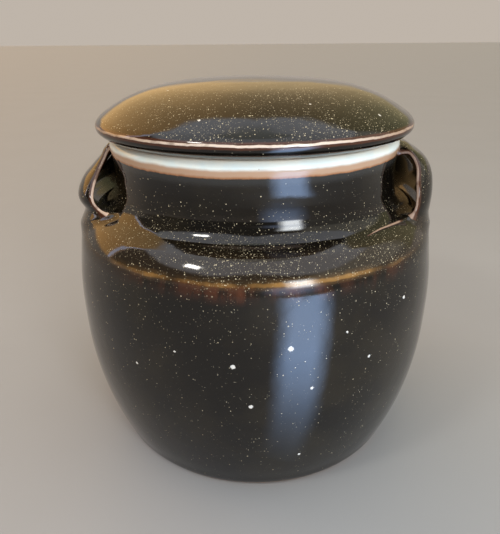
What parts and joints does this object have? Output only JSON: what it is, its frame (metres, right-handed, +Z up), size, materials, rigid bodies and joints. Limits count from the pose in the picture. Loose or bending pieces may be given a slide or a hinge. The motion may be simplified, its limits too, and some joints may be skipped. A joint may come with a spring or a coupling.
{
  "type": "lidded jar",
  "caption": "Round stoneware jar with a rolled shoulder, upright neck, two wide strap lugs and an overhanging domed lid with no knob, in a dark iron glaze.",
  "frame": {"origin": "centre of the foot, on the surface that the jar stands on", "axes": "+Z up along the jar's turning axis, -Y towards the front, lugs on +X and -X"},
  "size_m": [0.2414, 0.2414, 0.2382],
  "materials": {
    "dark_glaze": "glossy black-brown iron glaze with fine pale speckles",
    "brown_glaze": "glossy iron glaze, thinner and browner over the straps' edges",
    "bare_clay": "matt unglazed stoneware"
  },
  "bodies": {
    "jar": {"jar_body": "dark_glaze", "left_lug": "brown_glaze", "right_lug": "brown_glaze"},
    "cover": {"lid": "dark_glaze", "lid_flange": "bare_clay"}
  },
  "joints": [
    {"name": "lid_lift", "type": "slide", "parent": "jar", "child": "cover", "axis": [0, 0, 1], "range_m": [0, 0.08]}
  ]
}
